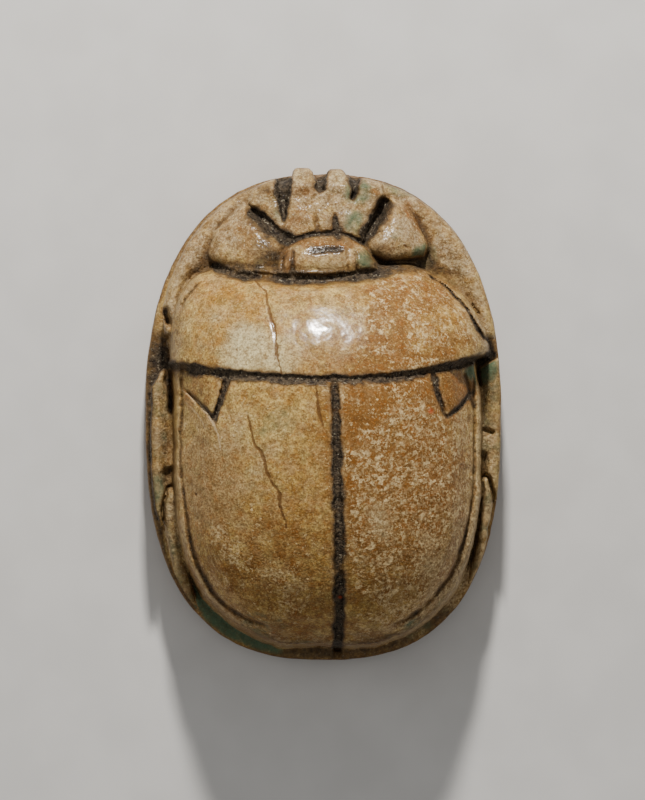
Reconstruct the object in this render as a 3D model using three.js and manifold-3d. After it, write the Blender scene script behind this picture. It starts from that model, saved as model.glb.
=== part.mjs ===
// A scarab amulet, carved from one piece of stone: a beetle on an oval base, pierced from head to tail
// for a cord. Millimetres. X is across the beetle, +Y towards its head, +Z up out of its back.
// The origin is under the middle of the amulet, on the flat underside that it lies on.
import * as THREE from "three";
import { mergeVertices } from "three/addons/utils/BufferGeometryUtils.js";
import Module from "manifold-3d";

const { lerp, smoothstep } = THREE.MathUtils;
const vec2 = (x, y) => new THREE.Vector2(x, y);
const vec3 = (x, y, z) => new THREE.Vector3(x, y, z);
const steps = (from, to, count) => Array.from({ length: count + 1 }, (_, i) => lerp(from, to, i / count));

// ---- Driving dimensions -------------------------------------------------------------------------
const LENGTH = 18.0; // tail end of the base to the tips of the middle teeth
const WIDTH = 13.0; // across the base
const HEIGHT = 7.8; // underside to the crown of the wing cases
const TIP_Y = LENGTH / 2;
const TAIL_Y = -LENGTH / 2;

// The base is an oval, a little blunter at the tail than at the head.
const BASE = { halfWidth: WIDTH / 2, headReach: 8.78, tailReach: -TAIL_Y, headPower: 2.4, tailPower: 2.6 };
const BASE_TOP = 1.6;
const BASE_CHAMFER = 0.14;
const SIDE_GROOVE = 0.24; // how far the groove between base and legs goes in

// The wing cases, with a flat cut-off tail end.
const WING = { centreX: 0.1, halfWidth: 5.57, frontY: 1.75, bendY: -0.8, tailY: -8.42 };
const WING_END = { reach: 7.8, power: 3.2, root: 2.2 };
// The prothorax in front of them. Its right side is carved rounder than its left.
const THORAX = { rearY: 1.3, frontY: 5.5 };
const THORAX_LEFT = { halfWidth: 5.62, bendY: 1.9, reach: 3.8, power: 3.6 };
const THORAX_RIGHT = { halfWidth: 5.95, bendY: 2.0, reach: 3.9, power: 2.2 };
// The rounding of the back: along the crown line, and across it.
const CROWN = { y: -1.0, tailReach: 7.55, tailPower: 2.4, headReach: 6.5, headPower: 2.1, root: 2.0 };
const CROSS = { power: 2.25, root: 1.75 };
const SKIRT = 3.6; // where the sides of the back turn down to the legs

// The legs stand in relief between the back and the edge of the base.
const LEG = { top: 3.0, round: 0.28, ledgeLeft: 0.3, ledgeRight: 0.12, ledgeFront: 0.05, dip: 0.5 };
const SHOULDER = { top: 3.45, frontTop: 2.9, dip: 0.05 }; // the broad forelegs beside the head
const MOAT = { width: 0.2, floor: 2.1 }; // the slot between the legs and the back
const LEDGE_TOP = 1.72; // the bare ledge round the tail
const HIND_LEG_END_Y = -6.9;

// The head slopes down to four teeth.
const HEAD = { rearY: 4.9, rearTop: 4.7, bendY: 8.2, bendTop: 3.6, tipTop: 2.95, fall: 0.05, floor: 2.3 };

// Carved lines: width at the surface, and depth.
const CUT = {
  neck: { width: 0.42, depth: 0.6 },
  waist: { width: 0.36, depth: 0.36 },
  seam: { width: 0.34, depth: 0.34 },
  cheek: { width: 0.38, depth: 0.6 },
  notch: { width: 0.24, depth: 0.2 },
  rim: { width: 0.16, depth: 0.13 },
  brow: { width: 0.16, depth: 0.14 },
  leg: { width: 0.2, depth: 0.7 },
  tooth: { width: 0.42, depth: 0.62 },
};

// Where the lines run and what they bound, as [x, y] seen from above.
const SEAM = [[0.22, 1.1], [0.3, -2], [0.4, -5], [0.47, -8.8]];
const LEFT_NOTCH = { inner: [[-3.66, 1.4], [-4.1, -0.2]], outer: [[-5.25, 1.05], [-4.1, -0.2]] };
const RIGHT_NOTCH = { inner: [[3.78, 1.4], [4.32, -0.25]], outer: [[5.22, 0.75], [4.85, 0.2], [4.32, -0.2]] };
const SHOULDER_LINE = [[3.7, 5.12], [4.38, 4.64], [5.15, 3.76], [5.69, 2.85]];
const NECK = [[-4.45, 5.55], [-3.28, 5.15], [-2.19, 4.98], [-0.91, 4.88], [0.73, 4.95], [2.01, 5.15], [3.9, 5.5]];
const RIM = { frontY: 1.35, inset: 0.27, tailInset: 0.52 };
const LEG_SLOT_LEFT = [[-5.35, -2.3], [-5.85, -2.65], [-6.0, -3.3], [-6.07, -4.0], [-6.5, -4.9]];
const LEG_SLOT_RIGHT = [[5.7, -1.5], [5.98, -2.4], [6.1, -3.1], [6.15, -3.8], [6.6, -4.6]];
const LEG_GAP_LEFT = [[-8, 2.78], [-4.8, 2.7], [-4.8, 1.9], [-5.75, 1.95], [-6.2, 1.55], [-8, 1.5]];
const LEG_GAP_RIGHT = [[4.8, 2.6], [5.9, 2.75], [8, 2.85], [8, 2.1], [4.8, 1.85]];
const CHEEK_LEFT = [[-2.95, 7.68], [-3.75, 6.9], [-4.2, 6.2], [-4.15, 5.6], [-3.1, 5.1], [-2.1, 5.15], [-1.4, 6.15]];
const CHEEK_RIGHT = [[2.45, 7.9], [3.1, 7.4], [3.6, 6.5], [3.7, 5.8], [2.6, 5.62], [1.95, 5.7], [1.5, 6.2]];
const CHEEK_LINE_LEFT = [[-3.05, 7.66], [-2.3, 7.1], [-1.55, 6.5], [-1.2, 6.3]];
const CHEEK_LINE_RIGHT = [[2.3, 8.05], [1.95, 7.3], [1.4, 6.3]];
const PLATE = [[-1.82, 5.1], [-1.7, 5.6], [-1.3, 6.1], [-0.6, 6.42], [0.75, 6.44], [1.4, 6.1], [1.95, 5.3], [1.9, 5.1]];
const BROW = [[-1.3, 6.3], [-0.7, 6.5], [0.1, 6.56], [0.8, 6.5], [1.4, 6.25]];
const CLYPEUS = {
  left: [[-1.4, 5.0], [-1.4, 6.2], [-2.78, 7.7], [-2.66, 8.07], [-2.3, 8.39], [-1.79, 8.6], [-1.24, 8.66]],
  teeth: [[-0.82, 9.0], [0.42, 8.94]], // the tips of the two middle teeth
  right: [[1.31, 8.62], [1.55, 8.58], [2.1, 8.4], [2.16, 8.0], [1.4, 6.2], [1.4, 5.0]],
};
const TOOTH = { halfWidth: 0.4, rootY: 8.66, corner: 0.16 };
// The gaps between the teeth narrow towards the head plate by the swell given.
const TOOTH_GAPS = [
  { path: [[-1.52, 8.52], [-1.54, 7.8], [-1.56, 6.95]], swell: [1.3, 0.5] },
  { path: [[-0.18, 9.1], [-0.18, 8.4], [-0.14, 7.85]], swell: [1.15, 0.35] },
  { path: [[1.08, 8.52], [1.04, 8.2], [1.0, 7.65]], swell: [1.15, 0.3] },
];
const FOREHEAD_LINES = [[[-0.33, 7.35], [-0.33, 6.5]], [[0.29, 7.35], [0.53, 6.5]]];

const CORD_HOLE = { radius: 0.5, z: 2.22, sides: 16 };
const BORDER = { inset: 0.8, width: 0.3, depth: 0.25 }; // the line cut round the underside

const STONE = { color: 0xae8557, roughness: 0.45, metalness: 0.0 };

// ---- Solids from meshes -------------------------------------------------------------------------
const wasm = await Module();
wasm.setup();
const union = (...solids) => wasm.Manifold.union(solids);

function solid(geometry) {
  const merged = mergeVertices(geometry, 1e-4);
  const vertProperties = merged.attributes.position.array;
  const triVerts = new Uint32Array(merged.index.array);
  const made = new wasm.Manifold(new wasm.Mesh({ numProp: 3, vertProperties, triVerts }));
  if (made.volume() > 0) return made;
  return new wasm.Manifold(new wasm.Mesh({ numProp: 3, vertProperties, triVerts: triVerts.reverse() }));
}

function geometryOf(made) {
  const mesh = made.getMesh();
  const positions = new Float32Array(mesh.numVert * 3);
  for (let i = 0; i < mesh.numVert; i++) {
    const start = i * mesh.numProp;
    positions.set(mesh.vertProperties.subarray(start, start + 3), i * 3);
  }
  const geometry = new THREE.BufferGeometry();
  geometry.setAttribute("position", new THREE.BufferAttribute(positions, 3));
  geometry.setIndex(new THREE.BufferAttribute(mesh.triVerts, 1));
  geometry.computeVertexNormals();
  return geometry;
}

// Joins rings of equal length into a closed skin. Each end is a fan round the middle of its ring.
function loft(rings) {
  const count = rings[0].length;
  const points = rings.flat();
  const index = [];
  for (let r = 0; r + 1 < rings.length; r++) {
    for (let i = 0; i < count; i++) {
      const a = r * count + i;
      const b = r * count + ((i + 1) % count);
      index.push(a, b, b + count, a, b + count, a + count);
    }
  }
  const last = (rings.length - 1) * count;
  for (const [start, turn] of [[0, 1], [last, 0]]) {
    const middle = points.slice(start, start + count).reduce((sum, p) => sum.add(p), vec3(0, 0, 0));
    const hub = points.push(middle.divideScalar(count)) - 1;
    for (let i = 0; i < count; i++) {
      const pair = [start + i, start + ((i + 1) % count)];
      index.push(hub, pair[turn], pair[1 - turn]);
    }
  }
  const geometry = new THREE.BufferGeometry().setFromPoints(points);
  geometry.setIndex(index);
  return solid(geometry);
}

// A flat outline, raised from one height to another.
function prism(outline, bottom, top) {
  return loft([bottom, top].map((z) => outline.map(([x, y]) => vec3(x, y, z))));
}

// ---- Outlines and heights ------------------------------------------------------------------------
// How wide a rounded end still is at a share t of its reach.
const taper = (t, power, root) => Math.max(0, 1 - Math.max(0, t) ** power) ** (1 / root);

// Points round the base, moved in by an inset that may differ from place to place.
function baseOutline(insetAt, count = 76) {
  const at = (angle) => {
    const [c, s] = [Math.cos(angle), Math.sin(angle)];
    const power = 2 / (s > 0 ? BASE.headPower : BASE.tailPower);
    const reach = s > 0 ? BASE.headReach : BASE.tailReach;
    return vec2(BASE.halfWidth * Math.sign(c) * Math.abs(c) ** power, reach * Math.sign(s) * Math.abs(s) ** power);
  };
  const nudge = 1e-3;
  return steps(0, 2 * Math.PI, count).slice(0, count).map((angle) => {
    const here = at(angle + 0.5 * nudge);
    const along = at(angle + nudge).sub(at(angle)).normalize();
    return here.add(vec2(-along.y, along.x).multiplyScalar(insetAt(here)));
  });
}

// The half widths of the back at y, to the left and right of its middle line.
function wingSides(y) {
  const half = WING.halfWidth * taper((WING.bendY - y) / WING_END.reach, WING_END.power, WING_END.root);
  return { left: half - WING.centreX, right: half + WING.centreX };
}

function thoraxSides(y) {
  const side = (s) => s.halfWidth * taper((y - s.bendY) / s.reach, s.power, s.power);
  return { left: side(THORAX_LEFT), right: side(THORAX_RIGHT) };
}

function crownHeight(y) {
  const [reach, power] = y < CROWN.y ? [CROWN.tailReach, CROWN.tailPower] : [CROWN.headReach, CROWN.headPower];
  return SKIRT + (HEIGHT - SKIRT) * taper(Math.abs(y - CROWN.y) / reach, power, CROWN.root);
}

// The height at x, y of the back with those sides, or of a back shrunk on every side by a sink.
function backTop(x, y, sides, sink = 0) {
  const half = (x < 0 ? sides.left : sides.right) - sink;
  if (sink > 0 && Math.abs(x) > half) return MOAT.floor;
  return SKIRT + (crownHeight(y) - sink - SKIRT) * taper(Math.abs(x) / half, CROSS.power, CROSS.root);
}

const wingTop = (x, y, sink) => backTop(x, y, wingSides(y), sink);
const thoraxTop = (x, y, sink) => backTop(x, y, thoraxSides(y), sink);

// The line where prothorax and wing cases meet, bowed towards the tail.
const waistY = (x) => 1.24 + (x < 0.2 ? 0.0145 : 0.0265) * (x - 0.2) ** 2;

function headTop(x, y, sink = 0) {
  const slope = lerp(HEAD.rearTop, HEAD.bendTop, (y - HEAD.rearY) / (HEAD.bendY - HEAD.rearY));
  const facet = lerp(HEAD.bendTop, HEAD.tipTop, (y - HEAD.bendY) / (TIP_Y - HEAD.bendY));
  return (y < HEAD.bendY ? slope : facet) - HEAD.fall * x * x - sink;
}

// A polygon whose corners are turned into arcs.
function rounded(corners, radius, perCorner = 3) {
  const points = corners.map(([x, y]) => vec2(x, y));
  return points.flatMap((corner, i) => {
    const towards = (other) => other.clone().sub(corner).setLength(radius).add(corner);
    const before = towards(points[(i + points.length - 1) % points.length]);
    const after = towards(points[(i + 1) % points.length]);
    return new THREE.QuadraticBezierCurve(before, corner, after).getPoints(perCorner).map((p) => [p.x, p.y]);
  });
}

// ---- Forms of the carving ------------------------------------------------------------------------
// A ridge along Y: arched sections from one y to the next, standing on a flat floor.
function ridge(stations, sidesAt, topAt, floor, across = 24) {
  return loft(
    stations.map((y) => {
      const sides = sidesAt(y);
      const arch = steps(Math.PI / 2, -Math.PI / 2, across).map((angle) => {
        const x = Math.sin(angle) * (angle > 0 ? sides.right : sides.left);
        return vec3(x, y, topAt(x, y));
      });
      return [vec3(arch[0].x, y, floor), ...arch, vec3(arch[across].x, y, floor)];
    }),
  );
}

// A cushion over an outline: its edges turn over and its middle swells above the height given.
function mound(outline, topAt, lift) {
  const middle = outline.reduce((sum, [x, y]) => sum.add(vec2(x, y)), vec2(0, 0)).divideScalar(outline.length);
  const turns = [[1, 0.5], [0.97, 0.25], [0.9, 0.1], [0.72, 0], [0.35, -0.06]];
  const rings = turns.map(([scale, drop]) =>
    outline.map(([x, y]) => {
      const p = vec2(x, y).sub(middle).multiplyScalar(scale).add(middle);
      return vec3(p.x, p.y, topAt(p.x, p.y) + lift - drop);
    }),
  );
  return loft([outline.map(([x, y]) => vec3(x, y, HEAD.floor)), ...rings]);
}

// A cutter for a line along a path: its floor is narrow, and it is open to the sky above the surface.
function line(path, cut, topAt, { count = 12, swell = [1, 1] } = {}) {
  const curve = new THREE.CatmullRomCurve3(path.map(([x, y]) => vec3(x, y, 0)), false, "centripetal");
  return loft(
    steps(0, 1, count).map((t) => {
      const p = curve.getPoint(t);
      const along = curve.getTangent(t);
      const aside = vec3(-along.y, along.x, 0).normalize();
      const half = 0.5 * cut.width * lerp(swell[0], swell[1], t);
      const floor = topAt(p.x, p.y, cut.depth);
      const top = topAt(p.x, p.y, 0);
      const corners = [[1.2, top + 1], [-1.2, top + 1], [-1, top], [-0.45, floor], [0.45, floor], [1, top]];
      return corners.map(([side, z]) => p.clone().addScaledVector(aside, side * half).setZ(z));
    }),
  );
}

// ---- Base and legs -------------------------------------------------------------------------------
// The base with its side groove, and the ring of stone that the legs are cut from.
function baseAndRing() {
  const ledge = (p) => {
    const side = lerp(LEG.ledgeLeft, LEG.ledgeRight, smoothstep(p.x, -1, 1));
    return lerp(side, LEG.ledgeFront, smoothstep(p.y, 3, 7.5));
  };
  const front = (y) => smoothstep(y, 1.5, 3.5);
  const top = (y) => lerp(LEG.top, lerp(SHOULDER.top, SHOULDER.frontTop, smoothstep(y, 4, TIP_Y)), front(y));
  const dip = (y) => lerp(LEG.dip, SHOULDER.dip, front(y));
  const wall = [
    [0, () => BASE_CHAMFER],
    [BASE_CHAMFER, () => 0],
    [BASE_TOP - 0.1, () => 0],
    [BASE_TOP, () => 0.1],
    [LEDGE_TOP, (p) => ledge(p) + SIDE_GROOVE],
    [LEDGE_TOP + 0.2, (p) => ledge(p) + SIDE_GROOVE],
    [MOAT.floor + 0.25, (p) => ledge(p)],
  ].map(([z, inset]) => baseOutline(inset).map((p) => vec3(p.x, p.y, z)));
  const back = [
    [LEG.round, 0],
    [LEG.round * 0.3, LEG.round * 0.3],
    [0, LEG.round],
  ].map(([down, inset]) => baseOutline((p) => ledge(p) + inset).map((p) => vec3(p.x, p.y, top(p.y) - down)));
  const inner = baseOutline(() => 1.1).map((p) => vec3(p.x, p.y, top(p.y) - dip(p.y)));
  return loft([...wall, ...back, inner]);
}

// The outline of the wing cases, grown by the width of the slot round them.
function moatOutline() {
  const grow = MOAT.width;
  const ys = [WING.frontY + 0.35, ...steps(0, Math.PI / 2, 12).map((a) => lerp(WING.bendY, WING.tailY, Math.sin(a)))];
  const right = ys.map((y) => [wingSides(y).right + grow, y]);
  const left = ys.map((y) => [-wingSides(y).left - grow, y]).reverse();
  const tail = WING.tailY - grow;
  return [...right, [right.at(-1)[0], tail], [left[0][0], tail], ...left];
}

function clearedLegs() {
  const far = 2 * WIDTH;
  const behindLegs = [[-far, HIND_LEG_END_Y], [far, HIND_LEG_END_Y], [far, -far], [-far, -far]];
  const flat = (x, y, sink) => LEG.top - sink;
  const cleared = union(
    prism(moatOutline(), MOAT.floor, HEIGHT),
    prism(behindLegs, LEDGE_TOP, HEIGHT),
    prism(LEG_GAP_LEFT, MOAT.floor, HEIGHT),
    prism(LEG_GAP_RIGHT, MOAT.floor, HEIGHT),
    line(LEG_SLOT_LEFT, CUT.leg, flat),
    line(LEG_SLOT_RIGHT, CUT.leg, flat),
  );
  return baseAndRing().subtract(cleared);
}

// ---- Wing cases and prothorax ---------------------------------------------------------------------
const BODY_FLOOR = 1;

function wingCases() {
  const tail = steps(Math.PI / 2, 0, 14).map((angle) => lerp(WING.bendY, WING.tailY, Math.sin(angle)));
  return ridge([...tail, ...steps(WING.bendY, WING.frontY, 3).slice(1)], wingSides, wingTop, BODY_FLOOR);
}

function prothorax() {
  return ridge(steps(THORAX.rearY, THORAX.frontY, 10), thoraxSides, thoraxTop, BODY_FLOOR);
}

// The line cut just inside the edge of one wing case, from the waist round to the tail.
function rimPath(side) {
  const nudge = 0.02;
  const outline = (y) => {
    const sides = wingSides(y);
    return vec2(side < 0 ? -sides.left : sides.right, y);
  };
  return steps(0, 1, 16).map((t) => {
    const y = lerp(RIM.frontY, WING.tailY + 7 * nudge, Math.sin((t * Math.PI) / 2));
    const along = outline(y + nudge).sub(outline(y - nudge)).normalize();
    const inset = lerp(RIM.inset, RIM.tailInset, t ** 3);
    const p = outline(y).add(vec2(-side * along.y, side * along.x).multiplyScalar(inset));
    return [p.x, p.y];
  });
}

// The lower of wing cases and prothorax, for the line cut where they meet.
const waistTop = (x, y, sink) => Math.min(wingTop(x, y, sink), thoraxTop(x, y, sink));

function backLines() {
  const wing = (path, cut, options) => line(path, cut, wingTop, options);
  const waist = steps(-1, 1, 24).map((t) => {
    const x = THORAX_RIGHT.halfWidth * 1.03 * Math.sin((t * Math.PI) / 2);
    return [x, waistY(x)];
  });
  return union(
    line(waist, CUT.waist, waistTop, { count: 28 }),
    wing(SEAM, CUT.seam, { count: 16 }),
    wing(rimPath(-1), CUT.rim, { count: 24 }),
    wing(rimPath(1), CUT.rim, { count: 24 }),
    wing(LEFT_NOTCH.inner, CUT.notch, { count: 3 }),
    wing(LEFT_NOTCH.outer, CUT.notch, { count: 4, swell: [0.5, 1] }),
    wing(RIGHT_NOTCH.inner, CUT.notch, { count: 3 }),
    wing(RIGHT_NOTCH.outer, CUT.notch, { count: 4 }),
    line(SHOULDER_LINE, CUT.rim, thoraxTop),
  );
}

// ---- Head ----------------------------------------------------------------------------------------
// The outline of the clypeus: the two middle teeth stand out in front of the base.
function clypeusOutline() {
  const teeth = CLYPEUS.teeth.flatMap(([x, tip]) => {
    const { halfWidth, rootY, corner } = TOOTH;
    const half = [[halfWidth, rootY], [0.9 * halfWidth, tip - corner], [0.6 * halfWidth, tip]];
    return [...half.map(([side, y]) => [x - side, y]), ...half.reverse().map(([side, y]) => [x + side, y])];
  });
  return [...CLYPEUS.left, ...teeth, ...CLYPEUS.right];
}

function head() {
  const sides = () => ({ left: 3, right: 3 });
  const slab = ridge([HEAD.rearY - 0.1, HEAD.bendY, TIP_Y + 0.1], sides, headTop, HEAD.floor, 12);
  return union(
    slab.intersect(prism(clypeusOutline(), HEAD.floor, HEIGHT)),
    mound(rounded(CHEEK_LEFT, 0.3), headTop, 0.1),
    mound(rounded(CHEEK_RIGHT, 0.25), headTop, 0.1),
    mound(rounded(PLATE, 0.15), headTop, 0.42),
  );
}

// The neck line runs a little lower towards its ends.
const neckTop = (x, y, sink) => headTop(0, y, sink) + 0.2 - 0.03 * x * x;

function headLines() {
  const cut = (path, size, options) => line(path, size, headTop, options);
  const [leftLine, rightLine] = FOREHEAD_LINES;
  return union(
    line(NECK, CUT.neck, neckTop, { count: 16 }),
    cut(CHEEK_LINE_LEFT, CUT.cheek, { count: 5 }),
    cut(CHEEK_LINE_RIGHT, CUT.cheek, { count: 5 }),
    cut(BROW, CUT.brow, { count: 8 }),
    cut(leftLine, CUT.brow, { count: 2 }),
    cut(rightLine, CUT.notch, { count: 2, swell: [0.5, 1] }),
    ...TOOTH_GAPS.map(({ path, swell }) => cut(path, CUT.tooth, { count: 3, swell })),
  );
}

// ---- The amulet ------------------------------------------------------------------------------------
function cordHole() {
  const across = new THREE.CylinderGeometry(CORD_HOLE.radius, CORD_HOLE.radius, 2 * LENGTH, CORD_HOLE.sides);
  return solid(across.deleteAttribute("normal").deleteAttribute("uv").translate(0, 0, CORD_HOLE.z));
}

// The line round the underside, as a ring that narrows upwards.
function borderLine() {
  const ring = (inset, z) => baseOutline(() => inset, 48).map((p) => vec3(p.x, p.y, z));
  const slope = 0.3 * BORDER.width;
  const outer = loft([ring(BORDER.inset - slope, -BORDER.depth), ring(BORDER.inset + slope, BORDER.depth)]);
  const far = BORDER.inset + BORDER.width;
  return outer.subtract(loft([ring(far + slope, -2 * BORDER.depth), ring(far - slope, 2 * BORDER.depth)]));
}

const body = union(clearedLegs(), wingCases(), prothorax(), head());
const carved = body.subtract(union(backLines(), headLines(), cordHole(), borderLine()));
const mesh = new THREE.Mesh(geometryOf(carved), new THREE.MeshStandardMaterial(STONE));
mesh.name = "scarab";
const amulet = new THREE.Group();
amulet.add(mesh);
export default amulet;
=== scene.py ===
"""A scarab amulet of glazed steatite, lying on its flat base: the carved stone as one fine mesh round the CAD
solid, its material, a floor, studio lights and the camera.

The stone's back is worked out as heights over the plan, in millimetres, X across, +Y to the head and +Z up.
The solid below those heights and inside the base's outline is then skinned, and the skin is scaled to metres.
"""

import math

import bpy
import numpy as np
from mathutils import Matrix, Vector


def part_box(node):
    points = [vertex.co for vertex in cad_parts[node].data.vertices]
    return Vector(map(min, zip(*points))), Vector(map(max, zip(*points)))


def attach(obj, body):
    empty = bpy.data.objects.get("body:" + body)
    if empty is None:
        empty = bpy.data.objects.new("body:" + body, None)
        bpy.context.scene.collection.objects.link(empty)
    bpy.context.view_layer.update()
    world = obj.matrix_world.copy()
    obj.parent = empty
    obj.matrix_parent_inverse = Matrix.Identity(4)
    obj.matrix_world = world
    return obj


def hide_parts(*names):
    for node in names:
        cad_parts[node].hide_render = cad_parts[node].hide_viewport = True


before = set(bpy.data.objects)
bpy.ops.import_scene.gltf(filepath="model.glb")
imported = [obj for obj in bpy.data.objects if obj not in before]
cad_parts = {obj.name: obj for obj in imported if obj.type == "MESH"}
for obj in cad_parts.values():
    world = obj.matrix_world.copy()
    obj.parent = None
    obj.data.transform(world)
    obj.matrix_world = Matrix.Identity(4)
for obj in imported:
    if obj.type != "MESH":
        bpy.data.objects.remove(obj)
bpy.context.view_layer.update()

MM = 0.001  # metres in a millimetre
LOW, HIGH = (np.array(corner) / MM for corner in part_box("scarab"))

# ---- Driving dimensions, in millimetres ----
WIDTH = HIGH[0] - LOW[0]
HEIGHT = HIGH[2] - LOW[2]
TIP_Y, TAIL_Y = HIGH[1], LOW[1]

BASE_HEAD_REACH = 8.78
BASE_POWER = {"head": 2.4, "tail": 2.6}
BASE_TOP = 1.6
LEDGE_TOP = 1.72
SIDE_GROOVE = 0.24

# Plans with rounded ends: half the width, where the end's curve starts, how far on it ends, how round it is.
WING = {"centre": 0.1, "half": 5.57, "bend": -0.8, "tail": -8.42, "reach": 7.8, "power": 3.2, "root": 2.2}
THORAX_LEFT = {"half": 5.62, "bend": 1.9, "reach": 3.8, "power": 3.6}
THORAX_RIGHT = {"half": 5.95, "bend": 2, "reach": 3.9, "power": 2.2}
CROWN = {"y": -1, "tail_reach": 7.55, "tail_power": 2.4, "head_reach": 6.5, "head_power": 2.1}
CROSS = {"power": 2.25, "root": 1.75}
SKIRT = 3.6  # where the back's curve meets its steep walls
WAIST = {"middle": 0.2, "y": 1.24, "left": 0.0145, "right": 0.0265}  # how strongly it bends on each side

WING_RIM = {"top": 4.05, "width": 0.25, "slope": 0.9, "rise": 2.1}  # the flat margin outside the rim line
LEG = {"top": 3, "round": 0.26, "dip_left": 0.36, "dip_right": 0.2}
HIND_LEG = {"top": 2.95, "end_top": 2.35, "gap": 0.06}
SHOULDER = {"start": 1.9, "full": 2.8, "top": 3.45, "front_top": 2.9, "hollow": {"left": 0.4, "right": 0.22}}
FLOOR = 2.05  # the bottom of the hollows between the legs and the body
WALL_SLOPE = 16  # how steeply a carved wall stands

# How far the rim lines run inside the wing cases' edges, on the left and on the right.
RIM_Y = [-8.3, -7.2, -5.7, -4, -3, -2, -1, 0.8, 1.4]
RIM_LEFT = [0.52, 0.3, 0.27, 0.28, 0.24, 0.17, 0.14, 0.22, 0.24]
RIM_RIGHT = [0.52, 0.46, 0.4, 0.34, 0.29, 0.27, 0.27, 0.27, 0.27]

HEAD = {"rear": 4.9, "rear_top": 4.7, "slope_end": 8.2, "ridge": 7.85, "step": 0.05, "bend": 8.36,
        "bend_top": 3.6, "tip_top": 2.95, "fall": 0.05, "floor": 2.3}
BEVEL = {"width": 0.32, "slope": 0.75}  # along the two outer teeth
CORD_HOLE = {"radius": 0.5, "z": 2.22}
BORDER = {"inset": 0.95, "width": 0.3, "depth": 0.25}  # the line cut round the underside
MOUND = {"edge": 0.6, "wall": 6, "crease": 0.14, "crease_width": 0.22, "blend": 0.05}
NECK_CUT = {"lift": 0.06, "fall": 0.03, "half": 0.12, "slope": 4, "blend": 0.35}
RUBBED = 0.35  # how much of a sharp edge's height is rubbed off

# Places on the stone, as (x, y) seen from above.
SEAM = [(0.22, 1.1), (0.24, 0.2), (0.3, -2), (0.4, -5), (0.47, -8.8)]
HIND_LEGS = (
    {"width": 0.29, "axis": [(-5.62, -2.85), (-5.62, -3.3), (-5.58, -3.9), (-5.5, -4.5), (-5.36, -5.15),
                             (-5.2, -5.88), (-4.98, -6.5), (-4.66, -7.15)]},
    {"width": 0.19, "axis": [(5.88, -2.42), (5.93, -2.8), (5.95, -3.4), (5.88, -4), (5.7, -5),
                             (5.45, -5.85), (5.18, -6.5), (4.98, -6.9)]},
)
MIDDLE_LEG_ENDS = (-4.2, -3.92)  # their y, on the left and on the right
# How far the legs' outer faces stand in from the base's edge, on the left and on the right.
LEDGE_Y = [-5, -4.5, -4.2, -3.4, -2, 1, 1.5, 1.95, 2.85, 3.1, 3.9, 5.1, 8.5]
LEDGE_LEFT = [0.05, 0.1, 0.2, 0.07, 0.1, 0.17, 0.42, 0.75, 0.45, 0.38, 0.17, 0.12, 0.05]
LEDGE_RIGHT = [0.05, 0.1, 0.16, 0.06, 0.05, 0.05, 0.05, 0.06, 0.06, 0.06, 0.05, 0.05, 0.05]
LEG_GAP_LEFT = [(-8, 2.9), (-5.5, 2.85), (-5.3, 2.6), (-5.45, 1.9), (-5.75, 1.95), (-6.2, 1.55), (-8, 1.5)]
LEG_GAP_RIGHT = [(5.6, 2.8), (6.1, 2.72), (8, 2.8), (8, 2.2), (6.3, 2.1), (5.6, 1.7), (5.3, 1.9)]
# path, radius, floor, slope of the sides, how dark it is
PITS = [
    # The first runs in the slot beside the left wing case; its darkness there is painted shade.
    ([(-5.64, 1.75), (-5.66, 1.2), (-5.64, 0.6), (-5.6, 0.15)], 0.09, 2.2, 7, 0.8),
    ([(-5.54, -2.1), (-5.64, -2.5)], 0.16, 2.42, 2.5, 0.52),
    ([(-5.82, 3.75), (-5.8, 3.35)], 0.06, 2.7, 5, 0.7),
    ([(-5.48, 3.1), (-5.46, 2.75)], 0.08, 2.4, 6, 0.8),
    ([(-6, 2.15), (-5.85, 2.2), (-5.6, 2.3)], 0.08, 2.2, 6, 0.6),
    ([(5.5, 1.9), (5.55, 1.5), (5.64, 1.1)], 0.07, 2.3, 7, 0.7),
    ([(5.78, -0.55), (6.1, -0.66)], 0.03, 2.65, 3, 0.4),
    ([(5.8, -1.5), (5.83, -2.2)], 0.05, 2.5, 4, 0.45),
    ([(6.05, 2.4), (5.7, 2.1)], 0.1, 2.1, 6, 0.85),
    ([(5.35, 3.98), (5.55, 3.65)], 0.03, 3, 5, 0.4),
]
KNOB = {"x": -5.76, "y": 2.55, "top": 2.75, "wide": 0.15, "long": 0.22}
NECK = [(-4.45, 5.55), (-3.28, 5.15), (-2.19, 4.98), (-0.91, 4.88), (0.73, 4.95), (2.01, 5.15), (3.9, 5.5)]
CHEEK_LEFT = [(-2.95, 7.68), (-3.75, 6.9), (-4.2, 6.2), (-4.15, 5.6), (-3.1, 5.1), (-2.1, 5.15), (-1.4, 6.15)]
CHEEK_RIGHT = [(2.45, 7.9), (3.1, 7.4), (3.6, 6.5), (3.7, 5.8), (2.6, 5.62), (1.95, 5.7), (1.5, 6.2)]
PLATE = [(-1.82, 5.1), (-1.7, 5.6), (-1.3, 6.1), (-0.6, 6.42), (0.75, 6.44), (1.4, 6.1), (1.95, 5.3),
         (1.9, 5.1)]
# The clypeus is the head's front, with four teeth.
CLYPEUS = [(-1.4, 5), (-1.4, 6.2), (-2.78, 7.7), (-2.66, 8.07), (-2.3, 8.39), (-1.79, 8.6),
           (-1.24, 8.66), (-1.18, 8.88), (-1.06, 9), (-0.58, 9), (-0.46, 8.88), (-0.42, 8.66),
           (0.02, 8.66), (0.08, 8.82), (0.2, 8.94), (0.64, 8.94), (0.76, 8.82), (0.84, 8.66),
           (1.31, 8.62), (1.55, 8.58), (2.1, 8.4), (2.16, 8), (1.4, 6.2), (1.4, 5)]
OUTER_TEETH = (
    [(-2.78, 7.85), (-2.66, 8.07), (-2.3, 8.39), (-1.79, 8.6)],
    [(1.31, 8.62), (1.75, 8.5), (2.16, 8.24)],
)

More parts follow.
